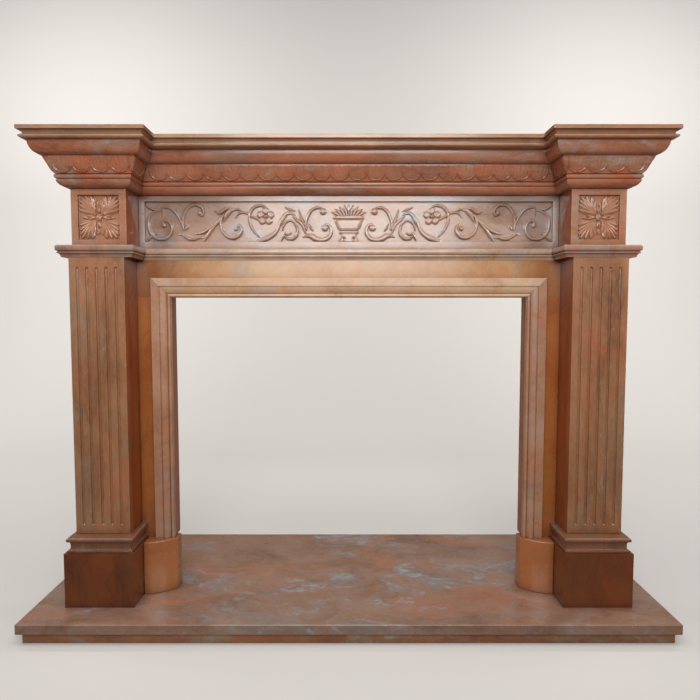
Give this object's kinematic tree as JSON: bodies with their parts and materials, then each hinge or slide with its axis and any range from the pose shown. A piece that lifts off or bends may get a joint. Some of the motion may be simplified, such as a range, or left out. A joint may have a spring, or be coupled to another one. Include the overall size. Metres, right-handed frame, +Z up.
{
  "type": "fireplace mantel",
  "caption": "Carved marble fireplace surround with a breakfront shelf, leaf-band cornice, scroll frieze with an urn, rosette blocks, fluted pilasters and a stone hearth",
  "frame": {"origin": "on the floor under the middle of the hearth, which is the middle of the whole object's footprint", "axes": "+X to the viewer's right when facing the fireplace, +Y towards the wall behind it, +Z up"},
  "size_m": [1.88, 0.585, 1.4547],
  "materials": {
    "marble_frieze": "polished pale peach marble with pink and grey clouds",
    "marble_pilaster": "polished mid brown marble with pink, olive and grey streaks",
    "marble_cornice": "polished reddish brown marble with grey clouds",
    "marble_facing": "polished peach-tan marble with grey veins",
    "marble_frame_plinth": "polished salmon-brown marble, nearly uniform",
    "marble_hearth": "polished orange-brown marble with grey-blue veins and pale flecks"
  },
  "bodies": {
    "root": {"hearth_base_course": "marble_hearth", "hearth_slab": "marble_hearth", "pilaster_plinth_left": "marble_pilaster", "pilaster_plinth_right": "marble_pilaster", "pilaster_base_left": "marble_pilaster", "pilaster_base_right": "marble_pilaster", "pilaster_shaft_left": "marble_pilaster", "pilaster_shaft_right": "marble_pilaster", "pilaster_cap_left": "marble_pilaster", "pilaster_cap_right": "marble_pilaster", "rosette_block_left": "marble_frieze", "rosette_block_right": "marble_frieze", "frieze": "marble_frieze", "architrave_moulding": "marble_facing", "cornice": "marble_cornice", "mantel_shelf": "marble_cornice", "fascia_header": "marble_facing", "jamb_panel_left": "marble_facing", "jamb_panel_right": "marble_facing", "frame_header": "marble_facing", "frame_jamb_left": "marble_facing", "frame_jamb_right": "marble_facing", "frame_plinth_left": "marble_frame_plinth", "frame_plinth_right": "marble_frame_plinth"}
  },
  "joints": []
}
